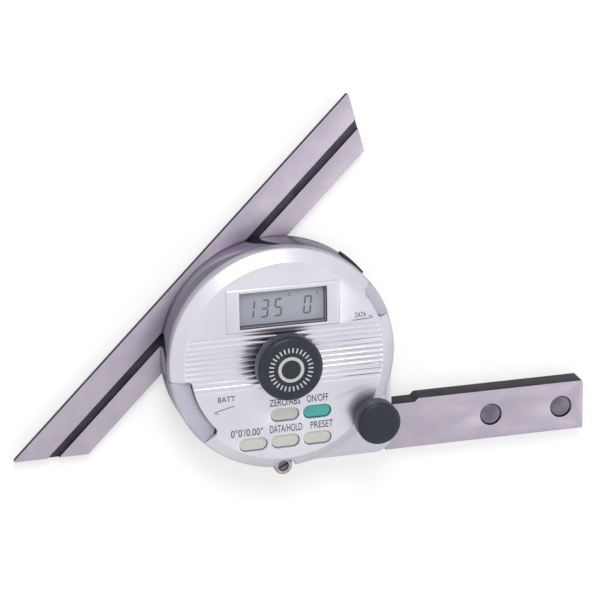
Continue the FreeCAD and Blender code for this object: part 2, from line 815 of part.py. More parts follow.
def clamp_knob():
    return round_knob(knob_radius, knob_low_z, knob_top_z, knob_round, knob_collar_radius,
                      tube_top_z + running_gap, spindle_radius + running_gap, spindle_top_z + 0.2)


def fine_knob():
    knob = round_knob(fine_radius, fine_low_z, fine_top_z, fine_round, fine_collar_radius,
                      drive_boss_top_z + running_gap, shaft_radius + fit_gap, fine_top_z - 1.3)
    knob.translate(V(drive_x, drive_y, 0))
    return knob


def main():
    pieces = {
        "blade": blade(),
        "guide_key": guide_key(),
        "clamp_plate": clamp_plate(),
        "blade_clamp_screw": blade_clamp_screw(),
        "turret_plate": turret_plate(),
        "spindle": spindle(),
        "thrust_washer": thrust_washer(),
        "ring_gear": ring_gear(),
        "pinion": pinion(),
        "encoder_rotor": encoder_rotor(),
        "encoder_stator": encoder_stator(),
        "case": case(),
        "front_cover": front_cover(),
        "display_window": display_window(),
        "lcd_panel": lcd_panel(),
        "lcd_connector": lcd_connector(),
        "circuit_board": circuit_board(),
        "key_domes": key_domes(),
        "battery": battery(),
        "battery_drawer": battery_drawer(),
        "battery_contacts": battery_contacts(),
        "data_port_cover": data_port_cover(),
        "data_connector": data_connector(),
        "port_plug": port_plug(),
        "spindle_bush": spindle_bush(),
        "fine_drive_bush": fine_drive_bush(),
        "stock": stock(),
        "stock_plugs": stock_plugs(),
        "stock_screws": stock_screws(),
        "cover_screws": cover_screws(),
        "accessory_bush": accessory_bush(),
        "accessory_screw": accessory_screw(),
        "clamp_knob": clamp_knob(),
        "fine_knob": fine_knob(),
    }
    names = ("key_units", "key_hold", "key_preset", "key_zero", "key_power")
    for name, (x, y) in zip(names, key_places()):
        pieces[name] = key(x, y)
    os.makedirs("parts", exist_ok=True)
    for name, shape in pieces.items():
        shape.exportStep("parts/" + name + ".step")
        print(name, "solids", len(shape.Solids), "valid", shape.isValid(), "mm3", round(shape.Volume, 1))


main()
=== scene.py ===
import json
import math

import bpy
from mathutils import Matrix, Vector

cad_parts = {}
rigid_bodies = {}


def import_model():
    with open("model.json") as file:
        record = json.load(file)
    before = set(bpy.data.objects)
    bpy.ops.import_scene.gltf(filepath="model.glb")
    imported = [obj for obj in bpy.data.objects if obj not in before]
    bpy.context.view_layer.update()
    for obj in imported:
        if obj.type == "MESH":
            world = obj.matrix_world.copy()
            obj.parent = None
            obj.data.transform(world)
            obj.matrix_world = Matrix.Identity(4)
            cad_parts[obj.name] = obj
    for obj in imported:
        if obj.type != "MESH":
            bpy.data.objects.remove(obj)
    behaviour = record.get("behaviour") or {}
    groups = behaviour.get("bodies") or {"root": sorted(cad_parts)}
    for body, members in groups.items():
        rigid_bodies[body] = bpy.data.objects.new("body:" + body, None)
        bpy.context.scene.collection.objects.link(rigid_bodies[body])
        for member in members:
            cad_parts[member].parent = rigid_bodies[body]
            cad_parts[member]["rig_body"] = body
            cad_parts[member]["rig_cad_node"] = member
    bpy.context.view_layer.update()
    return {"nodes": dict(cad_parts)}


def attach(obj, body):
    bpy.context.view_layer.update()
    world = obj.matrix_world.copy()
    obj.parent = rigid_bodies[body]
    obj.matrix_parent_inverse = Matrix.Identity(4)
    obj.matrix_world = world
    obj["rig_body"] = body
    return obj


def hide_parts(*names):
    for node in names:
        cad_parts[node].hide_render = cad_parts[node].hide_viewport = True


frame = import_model()
mm = 0.001


# small tools
def clearSelection():
    if bpy.context.mode != "OBJECT":
        bpy.ops.object.mode_set(mode="OBJECT")
    bpy.ops.object.select_all(action="DESELECT")


def makeActive(piece):
    clearSelection()
    piece.select_set(True)
    bpy.context.view_layer.objects.active = piece


def applyModifier(piece, kind, **settings):
    makeActive(piece)
    modifier = piece.modifiers.new(kind, kind)
    for key, value in settings.items():
        setattr(modifier, key, value)
    bpy.ops.object.modifier_apply(modifier=modifier.name)


def settle(piece):
    # put the place into the mesh, so the object stays at the origin
    makeActive(piece)
    bpy.ops.object.transform_apply(location=True, rotation=True, scale=True)


def startEdit(piece, mode="VERT"):
    makeActive(piece)
    bpy.ops.object.mode_set(mode="EDIT")
    bpy.ops.mesh.select_mode(type=mode)
    bpy.ops.mesh.select_all(action="DESELECT")
    bpy.ops.object.mode_set(mode="OBJECT")


def pickEdges(piece, test):
    # test gets the two ends of an edge in millimetres
    startEdit(piece, "EDGE")
    mesh = piece.data
    for edge in mesh.edges:
        a, b = (mesh.vertices[i].co / mm for i in edge.vertices)
        edge.select = bool(test(a, b))
    bpy.ops.object.mode_set(mode="EDIT")


def endEdit():
    bpy.ops.object.mode_set(mode="OBJECT")


def smooth(piece, angle=30):
    makeActive(piece)
    bpy.ops.object.shade_smooth_by_angle(angle=math.radians(angle))


def soften(piece, width, segments=2, angle=35):
    # round every sharp edge a little
    applyModifier(piece, "BEVEL", width=width * mm, segments=segments, limit_method="ANGLE",
                  angle_limit=math.radians(angle), use_clamp_overlap=False, miter_outer="MITER_ARC")
    smooth(piece)


def cube(name, x0, x1, y0, y1, z0, z1):
    clearSelection()
    centre = ((x0 + x1) / 2 * mm, (y0 + y1) / 2 * mm, (z0 + z1) / 2 * mm)
    bpy.ops.mesh.primitive_cube_add(size=1, location=centre)
    piece = bpy.context.object
    piece.name = name
    piece.scale = ((x1 - x0) * mm, (y1 - y0) * mm, (z1 - z0) * mm)
    settle(piece)
    return piece


def stadium(name, x, y, length, width, z0, z1):
    # a bar with round ends
    piece = cube(name, x - length / 2, x + length / 2, y - width / 2, y + width / 2, z0, z1)
    pickEdges(piece, lambda a, b: abs(a.x - b.x) + abs(a.y - b.y) < 1e-4)
    bpy.ops.mesh.bevel(offset=width / 2 * mm * 0.999, segments=14, affect="EDGES")
    endEdit()
    return piece


def lathe(name, rings, x=0.0, y=0.0, sides=160, closed=False):
    # rings are (radius, height); the two open ends are filled, or bridged where closed
    clearSelection()
    radius, height = rings[0]
    bpy.ops.mesh.primitive_circle_add(vertices=sides, radius=radius * mm, location=(0, 0, height * mm))
    piece = bpy.context.object
    piece.name = name
    settle(piece)
    bpy.ops.object.mode_set(mode="EDIT")
    bpy.ops.mesh.select_all(action="SELECT")
    for nextRadius, nextHeight in rings[1:]:
        bpy.ops.mesh.extrude_region_move(
            TRANSFORM_OT_translate={"value": (0, 0, (nextHeight - height) * mm)})
        grow = nextRadius / radius
        bpy.ops.transform.resize(value=(grow, grow, 1), center_override=(0, 0, nextHeight * mm))
        radius, height = nextRadius, nextHeight
    bpy.ops.mesh.select_all(action="DESELECT")
    bpy.ops.mesh.select_non_manifold()
    if closed:
        bpy.ops.mesh.bridge_edge_loops()
    else:
        bpy.ops.mesh.fill_holes(sides=0)
    bpy.ops.mesh.select_all(action="SELECT")
    bpy.ops.mesh.normals_make_consistent(inside=False)
    endEdit()
    piece.location = (x * mm, y * mm, 0)
    settle(piece)
    return piece


def roundOver(radius, height, size, start, end, steps=6):
    # points of a quarter round about (radius, height), in degrees from outwards
    turns = [math.radians(start + (end - start) * i / steps) for i in range(steps + 1)]
    return [(radius + size * math.cos(t), height + size * math.sin(t)) for t in turns]


def copyOf(node, name):
    # a merged copy of a frame node, which it then stands for
    source = frame["nodes"][node]
    makeActive(source)
    bpy.ops.object.duplicate()
    piece = bpy.context.object
    piece.name = name
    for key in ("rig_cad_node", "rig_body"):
        if key in piece:
            del piece[key]
    piece.parent = None
    piece.data.materials.clear()
    bpy.ops.object.mode_set(mode="EDIT")
    bpy.ops.mesh.select_all(action="SELECT")
    bpy.ops.mesh.customdata_custom_splitnormals_clear()
    bpy.ops.mesh.remove_doubles(threshold=1e-6)
    bpy.ops.mesh.dissolve_limited(angle_limit=math.radians(0.5))
    endEdit()
    return piece


def joinAll(pieces, name):
    clearSelection()
    for piece in pieces:
        piece.select_set(True)
    bpy.context.view_layer.objects.active = pieces[0]
    bpy.ops.object.join()
    pieces[0].name = name


def handOver(piece, body, slotName, *nodes):
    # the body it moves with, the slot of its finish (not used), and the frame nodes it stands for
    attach(piece, body)
    if nodes:
        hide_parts(*nodes)


def paint(piece, material):
    piece.data.materials.clear()
    piece.data.materials.append(material)


def paintWhere(piece, material, test):
    # test gets a face's centre in millimetres and its normal
    piece.data.materials.append(material)
    place = len(piece.data.materials) - 1
    for face in piece.data.polygons:
        if test(face.center / mm, face.normal):
            face.material_index = place


# materials
def linear(red, green, blue):
    # a colour picked on a screen, 0 to 255, as the shader wants it
    values = []
    for value in (red, green, blue):
        value /= 255
        values.append(value / 12.92 if value < 0.04045 else ((value + 0.055) / 1.055) ** 2.4)
    return (*values, 1.0)


def newFinish(name, colour, metallic=0.0, rough=0.5):
    # one Principled material, which the next functions add patterns to
    material = bpy.data.materials.new(name)
    material.use_nodes = True
    tree = material.node_tree
    shader = tree.nodes["Principled BSDF"]
    shader.inputs["Base Color"].default_value = colour
    shader.inputs["Metallic"].default_value = metallic
    shader.inputs["Roughness"].default_value = rough
    place = tree.nodes.new("ShaderNodeTexCoord")
    return {"material": material, "tree": tree, "shader": shader, "place": place, "bumps": []}


def addNode(finish, kind, **settings):
    made = finish["tree"].nodes.new("ShaderNode" + kind)
    for key, value in settings.items():
        if key in made.inputs:
            made.inputs[key].default_value = value
        else:
            setattr(made, key, value)
    return made


def wire(finish, out, into):
    finish["tree"].links.new(out, into)


def addNoise(finish, scale, detail=4.0, rough=0.5, stretch=(1, 1, 1), turn=0.0):
    mapping = addNode(finish, "Mapping", Scale=stretch, Rotation=(0, 0, math.radians(turn)))
    wire(finish, finish["place"].outputs["Object"], mapping.inputs["Vector"])
    made = addNode(finish, "TexNoise", Scale=scale, Detail=detail, Roughness=rough)
    wire(finish, mapping.outputs["Vector"], made.inputs["Vector"])
    return made.outputs["Fac"]


def tint(finish, source, low, high, lowColour, highColour):
    made = addNode(finish, "ValToRGB")
    ends = made.color_ramp.elements
    ends[0].position, ends[0].color = low, lowColour
    ends[1].position, ends[1].color = high, highColour
    wire(finish, source, made.inputs["Fac"])
    wire(finish, made.outputs["Color"], finish["shader"].inputs["Base Color"])


def varyGloss(finish, source, low, high):
    made = addNode(finish, "MapRange")
    made.inputs["To Min"].default_value = low
    made.inputs["To Max"].default_value = high
    wire(finish, source, made.inputs["Value"])
    wire(finish, made.outputs["Result"], finish["shader"].inputs["Roughness"])


def addBump(finish, source, strength, depth):
    # a later bump lies on the ones before it
    made = addNode(finish, "Bump", Strength=strength, Distance=depth * mm)
    wire(finish, source, made.inputs["Height"])
    if finish["bumps"]:
        wire(finish, finish["bumps"][-1].outputs["Normal"], made.inputs["Normal"])
    finish["bumps"].append(made)
    wire(finish, made.outputs["Normal"], finish["shader"].inputs["Normal"])


def makeSatinCover():
    # bead-blasted, satin-plated metal
    finish = newFinish("satinCover", linear(220, 218, 227), 0.85, 0.36)
    cloud = addNoise(finish, 60, 3, 0.5)
    tint(finish, cloud, 0.3, 0.75, linear(217, 214, 225), linear(224, 222, 230))
    grain = addNoise(finish, 5200, 2, 0.6)
    varyGloss(finish, addNoise(finish, 900, 4, 0.6), 0.30, 0.42)
    addBump(finish, grain, 0.10, 0.02)
    return finish["material"]


def makeSatinShoulder():
    # the case below the cover, a touch darker
    finish = newFinish("satinShoulder", linear(200, 198, 209), 0.85, 0.4)
    tint(finish, addNoise(finish, 60, 3, 0.5), 0.3, 0.75, linear(196, 194, 205), linear(205, 203, 213))
    varyGloss(finish, addNoise(finish, 900, 4, 0.6), 0.34, 0.46)
    addBump(finish, addNoise(finish, 5200, 2, 0.6), 0.10, 0.02)
    return finish["material"]


def makeCoverRidges():
    # the ridged band is buffed brighter than the blasted face around it
    finish = newFinish("coverRidges", linear(214, 212, 222), 0.95, 0.24)
    varyGloss(finish, addNoise(finish, 900, 4, 0.6), 0.2, 0.28)
    addBump(finish, addNoise(finish, 5200, 2, 0.6), 0.05, 0.02)
    return finish["material"]


def makeWornSteel():
    finish = newFinish("wornSteel", linear(168, 162, 164), 0.95, 0.25)
    tint(finish, addNoise(finish, 420, 4, 0.6), 0.35, 0.7, linear(142, 136, 138), linear(190, 184, 186))
    varyGloss(finish, addNoise(finish, 700, 3, 0.6), 0.16, 0.34)
    addBump(finish, addNoise(finish, 1800, 3, 0.6), 0.15, 0.02)
    return finish["material"]


def makePlugSteel():
    finish = newFinish("plugSteel", linear(116, 112, 126), 0.8, 0.35)
    tint(finish, addNoise(finish, 200, 4, 0.6), 0.35, 0.7, linear(104, 100, 114), linear(132, 127, 141))
    addBump(finish, addNoise(finish, 1500, 3, 0.6), 0.12, 0.02)
    return finish["material"]


def makePolishedRim():
    # turned and polished wall, with faint rings from the lathe; its colour is darkened as painted shade
    finish = newFinish("polishedRim", linear(150, 147, 162), 1.0, 0.12)
    rings = addNoise(finish, 900, 2, 0.5, (0.02, 0.02, 1))
    varyGloss(finish, addNoise(finish, 150, 3, 0.5), 0.10, 0.2)
    addBump(finish, rings, 0.05, 0.02)
    return finish["material"]


def makeGroundSteel(name, turn):
    # surface-ground steel with a long grain and a faint warm mottle
    finish = newFinish(name, linear(186, 178, 193), 0.75, 0.42)
    mottle = addNoise(finish, 110, 5, 0.62)
    tint(finish, mottle, 0.36, 0.68, linear(181, 173, 190), linear(194, 183, 195))
    grain = addNoise(finish, 2600, 3, 0.6, (0.03, 1, 1), turn)
    varyGloss(finish, addNoise(finish, 500, 4, 0.6, (0.15, 1, 1), turn), 0.36, 0.5)
    addBump(finish, grain, 0.12, 0.02)
    return finish["material"]


def makeDarkSteel():
    # dark steel, the screws' own colour; also painted in the blade's groove and, as painted shade, along the
    # edges
    finish = newFinish("darkSteel", linear(62, 60, 68), 0.6, 0.42)
    tint(finish, addNoise(finish, 240, 4, 0.6), 0.35, 0.7, linear(52, 50, 58), linear(74, 71, 80))
    addBump(finish, addNoise(finish, 1500, 3, 0.6), 0.2, 0.03)
    return finish["material"]


def makeTurnedSteel():
    finish = newFinish("turnedSteel", linear(176, 172, 182), 0.9, 0.3)
    tint(finish, addNoise(finish, 90, 4, 0.6), 0.35, 0.7, linear(168, 164, 175), linear(186, 181, 190))
    wave = addNode(finish, "TexWave", wave_type="RINGS", rings_direction="Z", Scale=900.0, Distortion=0.4)
    wire(finish, finish["place"].outputs["Object"], wave.inputs["Vector"])
    addBump(finish, wave.outputs["Fac"], 0.15, 0.01)
    varyGloss(finish, addNoise(finish, 300, 3, 0.6), 0.22, 0.36)
    return finish["material"]


def makeBrightSteel():
    finish = newFinish("brightSteel", linear(214, 212, 214), 1.0, 0.18)
    varyGloss(finish, addNoise(finish, 700, 3, 0.6), 0.12, 0.26)
    addBump(finish, addNoise(finish, 2400, 2, 0.5), 0.08, 0.01)
    return finish["material"]


def makeBrass():
    finish = newFinish("bushBrass", linear(200, 168, 106), 1.0, 0.28)
    tint(finish, addNoise(finish, 260, 4, 0.6), 0.35, 0.7, linear(190, 156, 94), linear(208, 178, 118))
    varyGloss(finish, addNoise(finish, 700, 3, 0.6), 0.22, 0.38)
    return finish["material"]


def makeBlackKnob():
    # black coated metal, finely grained
    finish = newFinish("blackKnob", linear(34, 41, 52), 0.0, 0.36)
    finish["shader"].inputs["Specular IOR Level"].default_value = 0.45
    tint(finish, addNoise(finish, 130, 3, 0.5), 0.35, 0.7, linear(29, 36, 47), linear(39, 46, 57))
    varyGloss(finish, addNoise(finish, 1500, 3, 0.6), 0.30, 0.44)
    addBump(finish, addNoise(finish, 4200, 2, 0.6), 0.12, 0.02)
    return finish["material"]


def makeKeyPlastic(name, light, dark):
    finish = newFinish(name, light, 0.0, 0.42)
    tint(finish, addNoise(finish, 160, 3, 0.5), 0.3, 0.75, dark, light)
    varyGloss(finish, addNoise(finish, 1200, 3, 0.6), 0.36, 0.5)
    addBump(finish, addNoise(finish, 3600, 2, 0.6), 0.1, 0.02)
    return finish["material"]


def makeLid():
    # moulded lids, a shade darker than the cover
    finish = newFinish("lidPlastic", linear(206, 201, 218), 0.35, 0.45)
    tint(finish, addNoise(finish, 140, 3, 0.5), 0.3, 0.75, linear(200, 195, 213), linear(211, 206, 222))
    varyGloss(finish, addNoise(finish, 1300, 3, 0.6), 0.38, 0.52)
    addBump(finish, addNoise(finish, 4000, 2, 0.6), 0.15, 0.02)
    return finish["material"]


def makePlain(name, colour, rough, metallic=0.0, scale=600):
    finish = newFinish(name, colour, metallic, rough)
    low = tuple(c * 0.88 for c in colour[:3]) + (1.0,)
    tint(finish, addNoise(finish, scale * 0.3, 3, 0.5), 0.3, 0.75, low, colour)
    varyGloss(finish, addNoise(finish, scale, 3, 0.6), rough * 0.85, min(1.0, rough * 1.15))
    addBump(finish, addNoise(finish, scale * 4, 2, 0.6), 0.1, 0.02)
    return finish["material"]


def makeDisplayFace():
    # the grey of an idle display, a little uneven across
    finish = newFinish("displayFace", linear(200, 203, 219), 0.0, 0.55)
    tint(finish, addNoise(finish, 45, 2, 0.4), 0.3, 0.7, linear(192, 195, 212), linear(207, 209, 223))
    varyGloss(finish, addNoise(finish, 2500, 2, 0.6), 0.48, 0.62)
    return finish["material"]


def makeWindow():
    finish = newFinish("windowGlass", linear(232, 236, 240), 0.0, 0.06)
    finish["shader"].inputs["Alpha"].default_value = 0.10
    varyGloss(finish, addNoise(finish, 400, 3, 0.5), 0.04, 0.09)
    return finish["material"]


def makeInk(name, colour):
    finish = newFinish(name, colour, 0.0, 0.55)
    varyGloss(finish, addNoise(finish, 1800, 3, 0.6), 0.48, 0.65)
    return finish["material"]


finishes = {
    "cover": makeSatinCover(),
    "shoulder": makeSatinShoulder(),
    "ridges": makeCoverRidges(),
    "plug": makePlugSteel(),
    "worn": makeWornSteel(),
    "rim": makePolishedRim(),
    "blade": makeGroundSteel("bladeSteel", -45),
    "stock": makeGroundSteel("stockSteel", 0),
    "dark": makeDarkSteel(),
    "turned": makeTurnedSteel(),
    "bright": makeBrightSteel(),
    "brass": makeBrass(),
    "knob": makeBlackKnob(),
    "creamKey": makeKeyPlastic("creamKey", linear(240, 240, 233), linear(230, 230, 222)),
    "greenKey": makeKeyPlastic("greenKey", linear(96, 202, 196), linear(86, 192, 185)),
    "lid": makeLid(),
    "rubber": makePlain("blackRubber", linear(26, 26, 29), 0.6),
    "board": makePlain("boardGreen", linear(38, 96, 62), 0.5),
    "washer": makePlain("washerWhite", linear(225, 224, 218), 0.55),
    "display": makeDisplayFace(),
    "window": makeWindow(),
    "darkInk": makeInk("darkInk", linear(62, 62, 72)),
    "segmentInk": makeInk("segmentInk", linear(84, 88, 102)),
    "whiteInk": makeInk("whiteInk", linear(228, 228, 230)),
}
print("materials made:", len(finishes))


# camera, lights and floor
camera = {
    "place": (-0.17967, 0.26549, 0.72988),
    "right": (0.96638, -0.01593, 0.25663),
    "up": (0.09630, 0.94786, -0.30378),
    "back": (-0.23841, 0.31827, 0.91753),
    "lens": 156.0,
}
bpy.ops.object.camera_add(location=camera["place"])
viewer = bpy.context.object
viewer.name = "viewCamera"
columns = [Vector(camera[key]) for key in ("right", "up", "back")]
turn = Matrix(columns).transposed().to_4x4()
viewer.matrix_world = Matrix.Translation(camera["place"]) @ turn
viewer.data.lens = camera["lens"]
viewer.data.sensor_width = 36
viewer.data.clip_start = 0.01
viewer.data.clip_end = 20
bpy.context.scene.camera = viewer

lamps = {
    "keySoftbox": {"place": (-0.1, 0.72, 0.8), "aim": (0, 0, 0), "size": 0.4, "power": 3.3,
                   "gloss": 0.12},
    "sideFill": {"place": (0.75, -0.25, 0.6), "aim": (0, 0, 0), "size": 0.5, "power": 0.8,
                 "gloss": 0.12},
}
for name, lamp in lamps.items():
    clearSelection()
    bpy.ops.object.light_add(type="AREA", location=lamp["place"])
    light = bpy.context.object
    light.name = name
    light.data.size = lamp["size"]
    light.data.energy = lamp["power"]
    light.data.specular_factor = lamp["gloss"]
    away = Vector(lamp["place"]) - Vector(lamp["aim"])
    light.rotation_euler = away.to_track_quat("Z", "Y").to_euler()


# how bright the sky is on the object, and where it is seen or mirrored
sky = {"fill": 0.45, "seen": 1.0}


def makeWorld():
    world = bpy.data.worlds.new("studioWorld")
    bpy.context.scene.world = world
    world.use_nodes = True
    nodes, links = world.node_tree.nodes, world.node_tree.links
    plain = nodes["Background"]
    plain.inputs["Color"].default_value = (1, 1, 1, 1)
    plain.inputs["Strength"].default_value = sky["fill"]
    seen = nodes.new("ShaderNodeBackground")
    seen.inputs["Color"].default_value = (1, 1, 1, 1)
    seen.inputs["Strength"].default_value = sky["seen"]
    path = nodes.new("ShaderNodeLightPath")
    shiny = nodes.new("ShaderNodeMath")
    shiny.operation = "MAXIMUM"
    both = nodes.new("ShaderNodeMath")
    both.operation = "MAXIMUM"
    links.new(path.outputs["Is Glossy Ray"], shiny.inputs[0])
    links.new(path.outputs["Is Transmission Ray"], shiny.inputs[1])
    links.new(path.outputs["Is Camera Ray"], both.inputs[0])
    links.new(shiny.outputs[0], both.inputs[1])
    mix = nodes.new("ShaderNodeMixShader")
    links.new(both.outputs[0], mix.inputs["Fac"])
    links.new(plain.outputs[0], mix.inputs[1])
    links.new(seen.outputs[0], mix.inputs[2])
    links.new(mix.outputs[0], nodes["World Output"].inputs["Surface"])


# the floor shows white in the view, and less bright in what mirrors it
ground = {"size": 6, "level": -0.0003, "white": 0.8, "glow": 0.5, "mirroredGlow": 0.05}


def makeFloor():
    clearSelection()
    bpy.ops.mesh.primitive_plane_add(size=ground["size"], location=(0, 0, ground["level"]))
    floor = bpy.context.object
    floor.name = "floor"
    finish = newFinish("floorWhite", (ground["white"],) * 3 + (1,), 0.0, 0.9)
    finish["shader"].inputs["Specular IOR Level"].default_value = 0.0
    glow = addNode(finish, "Emission")
    path = addNode(finish, "LightPath")
    mirrored = addNode(finish, "Math", operation="MAXIMUM")
    wire(finish, path.outputs["Is Glossy Ray"], mirrored.inputs[0])
    wire(finish, path.outputs["Is Transmission Ray"], mirrored.inputs[1])
    faint = addNode(finish, "Math", operation="MULTIPLY")
    faint.inputs[1].default_value = ground["mirroredGlow"]
    wire(finish, mirrored.outputs[0], faint.inputs[0])
    seen = addNode(finish, "Math", operation="MULTIPLY")
    seen.inputs[1].default_value = ground["glow"]
    wire(finish, path.outputs["Is Camera Ray"], seen.inputs[0])
    strength = addNode(finish, "Math", operation="ADD")
    wire(finish, faint.outputs[0], strength.inputs[0])
    wire(finish, seen.outputs[0], strength.inputs[1])
    wire(finish, strength.outputs[0], glow.inputs["Strength"])
    total = addNode(finish, "AddShader")
    wire(finish, finish["shader"].outputs[0], total.inputs[0])
    wire(finish, glow.outputs[0], total.inputs[1])
    wire(finish, total.outputs[0], finish["tree"].nodes["Material Output"].inputs["Surface"])
    paint(floor, finish["material"])


makeWorld()
makeFloor()
bpy.context.scene.view_settings.view_transform = "Standard"
print("stage set")


# heights that several pieces share, in millimetres as all sizes below
levels = {"face": 19.3, "frameTop": 19.9, "displayTop": 17.4, "bladeTop": 3.6}

# front cover and case
cover = {
    "edge": 0.12, "openingX": (-14, 13.4), "openingY": (11.4, 23.1), "buffedLow": -8.6, "buffedHigh": 9.95,
    "ridgeKeep": 0.55, "ridgeDepth": 0.31, "ridgeHalfLength": 30, "ridgeLow": -9, "ridgeHigh": 10.2,
}
case = {"edge": 0.15, "wallRadius": 34.6}


def makeCover():
    piece = copyOf("front_cover", "frontCover")
    face = levels["face"]
    # the ridges are shown shallower than the frame has them, because they look too deep otherwise
    startEdit(piece)
    for corner in piece.data.vertices:
        x, y, z = corner.co / mm
        corner.select = (cover["ridgeLow"] < y < cover["ridgeHigh"] and abs(x) < cover["ridgeHalfLength"]
                         and face - cover["ridgeDepth"] < z < face - 0.005)
    bpy.ops.object.mode_set(mode="EDIT")
    bpy.ops.transform.resize(value=(1, 1, cover["ridgeKeep"]), center_override=(0, 0, face * mm))
    endEdit()
    soften(piece, cover["edge"], 2, 38)
    paint(piece, finishes["cover"])
    left, right = cover["openingX"]
    near, far = cover["openingY"]
    # painted shade: the walls inside the display opening are painted dark steel
    paintWhere(piece, finishes["dark"], lambda c, n: abs(n.z) < 0.3 and left < c.x < right
               and near < c.y < far and c.z < levels["frameTop"] - 0.3)
    paintWhere(piece, finishes["ridges"], lambda c, n: cover["buffedLow"] < c.y < cover["buffedHigh"]
               and abs(n.y) > 0.02 and abs(n.x) < 0.05 and 18.5 < c.z < face + 0.02)
    handOver(piece, "root", "satin_cover", "front_cover")


def makeCase():
    piece = copyOf("case", "caseBody")
    soften(piece, case["edge"], 2, 38)
    paint(piece, finishes["shoulder"])
    # the case's outer wall gets the polished finish, whose dark colour is painted shade
    paintWhere(piece, finishes["rim"], lambda c, n: abs(n.z) < 0.5
               and math.hypot(c.x, c.y) > case["wallRadius"])
    handOver(piece, "root", "satin_case", "case")


makeCover()
makeCase()
print("cover and case made")


# blade and stock
blade = {"edge": 0.06, "angle": 45.0, "grooveNear": 26.85, "grooveFar": 29.5}
stock = {"edge": 0.12}


def makeBlade():
    piece = copyOf("blade", "bladeBar")
    soften(piece, blade["edge"], 2, 30)
    paint(piece, finishes["blade"])
    across = Vector((-math.sin(math.radians(blade["angle"])), math.cos(math.radians(blade["angle"])), 0))

    def inGroove(centre, normal):
        reach = centre.dot(across)
        return blade["grooveNear"] < reach < blade["grooveFar"] and 2 < centre.z < levels["bladeTop"] - 0.03

    # the groove is painted dark steel
    paintWhere(piece, finishes["dark"], inGroove)
    # painted shade: the blade's side walls are painted dark steel
    paintWhere(piece, finishes["dark"], lambda c, n: abs(n.z) < 0.3 and not inGroove(c, n))
    handOver(piece, "blade", "ground_steel", "blade")


def makeStock():
    piece = copyOf("stock", "stockBar")
    soften(piece, stock["edge"], 2, 30)
    paint(piece, finishes["stock"])
    # painted shade: the stock's upper side wall is painted dark steel
    paintWhere(piece, finishes["dark"], lambda c, n: abs(n.z) < 0.9 and n.y > 0.3)
    handOver(piece, "root", "ground_steel", "stock")


makeBlade()
makeStock()
print("blade and stock made")


# knobs
clampKnob = {
    "radius": 10.05, "low": 20.7, "top": 26.77, "round": 1.3, "collar": 7.2, "foot": 19.65, "bore": 2.55,
    "boreTop": 24.6, "ringInner": 3.0, "ringOuter": 4.0, "tickInner": 5.3, "tickOuter": 6.9,
    "tickWidth": 0.45, "tickCount": 30, "ink": 0.03,
}
fineKnob = {
    "radius": 6.7, "low": 20.2, "top": 26.2, "round": 1.0, "collar": 4.2, "foot": 19.45, "bore": 1.52,
    "boreTop": 24.9, "x": 27.553, "y": -20.763,
}


def makeKnob(name, knob, body, node):
    # a round grip on a collar, hollow from below for its shaft
    edge, lip = knob["round"], knob["radius"] - knob["round"]
    rings = [(0.02, knob["boreTop"]), (knob["bore"], knob["boreTop"]), (knob["bore"], knob["foot"]),
             (knob["collar"] - 0.15, knob["foot"]),
             (knob["collar"], knob["foot"] + 0.15), (knob["collar"], knob["low"])]
    rings += roundOver(lip, knob["low"] + edge, edge, -90, 0)
    rings += roundOver(lip, knob["top"] - edge, edge, 0, 90)
    rings += [(lip - 0.5, knob["top"]), (0.02, knob["top"])]
    piece = lathe(name, rings, knob.get("x", 0), knob.get("y", 0))
    smooth(piece, 35)
    paint(piece, finishes["knob"])
    handOver(piece, body, "black_knob", node)


def makeKnobPrint():
    knob = clampKnob
    low, high = knob["top"] + 0.002, knob["top"] + knob["ink"]
    rings = [(knob["ringInner"], low), (knob["ringOuter"], low), (knob["ringOuter"], high),
             (knob["ringInner"], high)]
    ring = lathe("knobRingPrint", rings, sides=96, closed=True)
    smooth(ring)
    paint(ring, finishes["whiteInk"])
    handOver(ring, "clamp_knob", "black_knob")
    middle = (knob["tickInner"] + knob["tickOuter"]) / 2
    length = knob["tickOuter"] - knob["tickInner"]
    ticks = [stadium("tick", middle, 0, length, knob["tickWidth"], low, high)]
    for i in range(1, knob["tickCount"]):
        makeActive(ticks[0])
        bpy.ops.object.duplicate()
        tick = bpy.context.object
        tick.rotation_euler.z = 2 * math.pi * i / knob["tickCount"]
        settle(tick)
        ticks.append(tick)
    joinAll(ticks, "knobTickPrint")
    paint(ticks[0], finishes["whiteInk"])
    handOver(ticks[0], "clamp_knob", "black_knob")


makeKnob("clampKnob", clampKnob, "clamp_knob", "clamp_knob")
makeKnob("fineDriveKnob", fineKnob, "fine_drive", "fine_knob")
makeKnobPrint()
print("knobs made")


